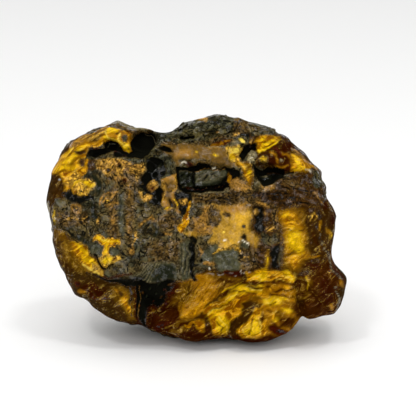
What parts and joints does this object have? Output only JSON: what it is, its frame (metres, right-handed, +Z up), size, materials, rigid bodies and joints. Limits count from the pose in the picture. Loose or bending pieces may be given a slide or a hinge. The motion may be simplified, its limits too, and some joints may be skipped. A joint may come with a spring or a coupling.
{
  "type": "raw copal",
  "caption": "Raw lump of copal, a hardened tree resin, with a dark bark-printed crust and clear golden resin showing through it.",
  "frame": {"origin": "centre of the lump's bounding box, on the surface that it stands on", "axes": "+X along the lump's length, +Y from the crusted face to the back, +Z up"},
  "size_m": [0.0846, 0.0464, 0.0628],
  "materials": {
    "copal": "glossy natural resin, clear gold where bare, dark matt brown-black where crusted"
  },
  "bodies": {
    "root": {"copal_lump": "copal"}
  },
  "joints": []
}
